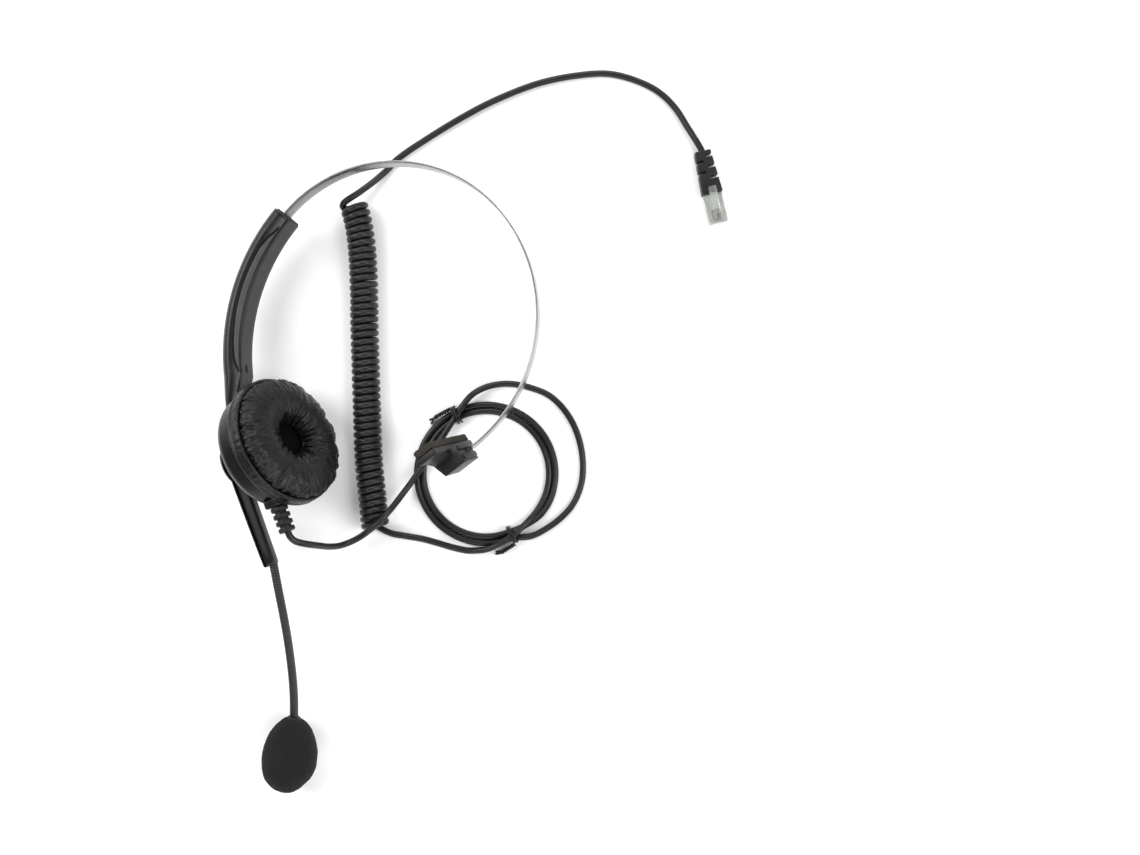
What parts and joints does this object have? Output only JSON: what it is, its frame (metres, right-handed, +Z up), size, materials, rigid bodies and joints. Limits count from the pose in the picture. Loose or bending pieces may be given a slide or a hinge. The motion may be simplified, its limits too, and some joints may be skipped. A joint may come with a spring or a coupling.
{
  "type": "telephone headset",
  "caption": "Office telephone headset lying on its side: ear cup, sprung steel headband with temple pad, boom microphone, curly cord and plug.",
  "frame": {"origin": "on the surface the headset lies on, under the middle of the headset without its cord", "axes": "+Z up; +Y from the microphone towards the top of the headband; +X from the ear cup towards the temple pad"},
  "size_m": [0.2074, 0.2991, 0.0509],
  "materials": {
    "satin_black": "black injection-moulded plastic, satin",
    "matte_black": "black plastic, matt",
    "strip_steel": "bright sprung steel, rolled along its length",
    "hardware_steel": "plated steel",
    "gooseneck_black": "black coated spiral tube",
    "leatherette": "black leatherette, pleated",
    "windscreen_foam": "fine black foam",
    "temple_foam": "brown-black foam",
    "cord_jacket": "black PVC jacket, satin",
    "clear_plastic": "clear polycarbonate",
    "contact_gold": "gold-plated contacts",
    "damping_cloth": "black acoustic cloth"
  },
  "bodies": {
    "ear_cup": {"cup_housing": "satin_black", "cushion_ring": "satin_black", "baffle_grille": "matte_black", "speaker_driver": "hardware_steel", "speaker_diaphragm": "clear_plastic", "speaker_cloth": "damping_cloth", "ear_cushion": "leatherette", "cup_strain_relief": "matte_black", "speaker_lead": "cord_jacket", "cord_lower": "cord_jacket", "cord_ring": "cord_jacket", "cord_link": "cord_jacket", "curly_cord": "cord_jacket", "cord_upper": "cord_jacket", "twist_tie_upper": "matte_black", "twist_tie_lower": "matte_black", "plug_boot": "matte_black", "plug_body": "clear_plastic", "plug_contact_1": "contact_gold", "plug_contact_2": "contact_gold", "plug_contact_3": "contact_gold", "plug_contact_4": "contact_gold"},
    "plug_latch": {"plug_latch": "clear_plastic"},
    "arm": {"arm_outer_shell": "satin_black", "arm_inner_cover": "satin_black", "arm_end_bush": "matte_black", "slider_spring": "hardware_steel", "arm_screw": "hardware_steel", "swivel_pin": "hardware_steel", "boom_pivot_screw": "hardware_steel"},
    "headband": {"headband_strip": "strip_steel", "strip_stop": "matte_black"},
    "temple_pad": {"temple_holder": "satin_black", "temple_rivet": "hardware_steel", "temple_foam": "temple_foam"},
    "boom": {"boom_arm": "satin_black", "boom_cover": "satin_black", "boom_washer": "hardware_steel", "gooseneck_1": "gooseneck_black"},
    "gooseneck_mid": {"gooseneck_2": "gooseneck_black"},
    "microphone": {"gooseneck_3": "gooseneck_black", "mic_housing": "matte_black", "mic_capsule": "hardware_steel", "mic_foam": "windscreen_foam"}
  },
  "joints": [
    {"name": "cup_swivel", "type": "hinge", "parent": "ear_cup", "child": "arm", "pos_m": [-0.0496, 0.0101, 0.019], "axis": [0.3656, -0.9263, 0.091], "range_deg": [0, 47]},
    {"name": "headband_slide", "type": "hinge", "parent": "arm", "child": "headband", "pos_m": [0.02549, 0.05264, 0.02548], "axis": [0.1151, -0.052, -0.992], "range_deg": [-8, 10]},
    {"name": "temple_tilt", "type": "hinge", "parent": "headband", "child": "temple_pad", "pos_m": [0.02994, 0.00769, 0.02835], "axis": [0.5711, -0.8136, 0.1089], "range_deg": [-33, 7]},
    {"name": "boom_swing", "type": "hinge", "parent": "arm", "child": "boom", "pos_m": [-0.0496, 0.0101, 0.019], "axis": [0.9236, 0.3732, 0.0876], "range_deg": [-150, 150]},
    {"name": "gooseneck_bend_lower", "type": "hinge", "parent": "boom", "child": "gooseneck_mid", "pos_m": [-0.0388, -0.0551, 0.0202], "axis": [-0.1151, 0.052, 0.992], "range_deg": [-35, 35]},
    {"name": "gooseneck_bend_upper", "type": "hinge", "parent": "gooseneck_mid", "child": "microphone", "pos_m": [-0.0363, -0.0783, 0.0165], "axis": [-0.1151, 0.052, 0.992], "range_deg": [-35, 35]},
    {"name": "plug_latch_press", "type": "hinge", "parent": "ear_cup", "child": "plug_latch", "pos_m": [0.13854, 0.10771, 0.0046], "axis": [-0.9724, -0.2334, 0], "range_deg": [0, 7], "stiffness_Nm_per_rad": 0.02}
  ]
}
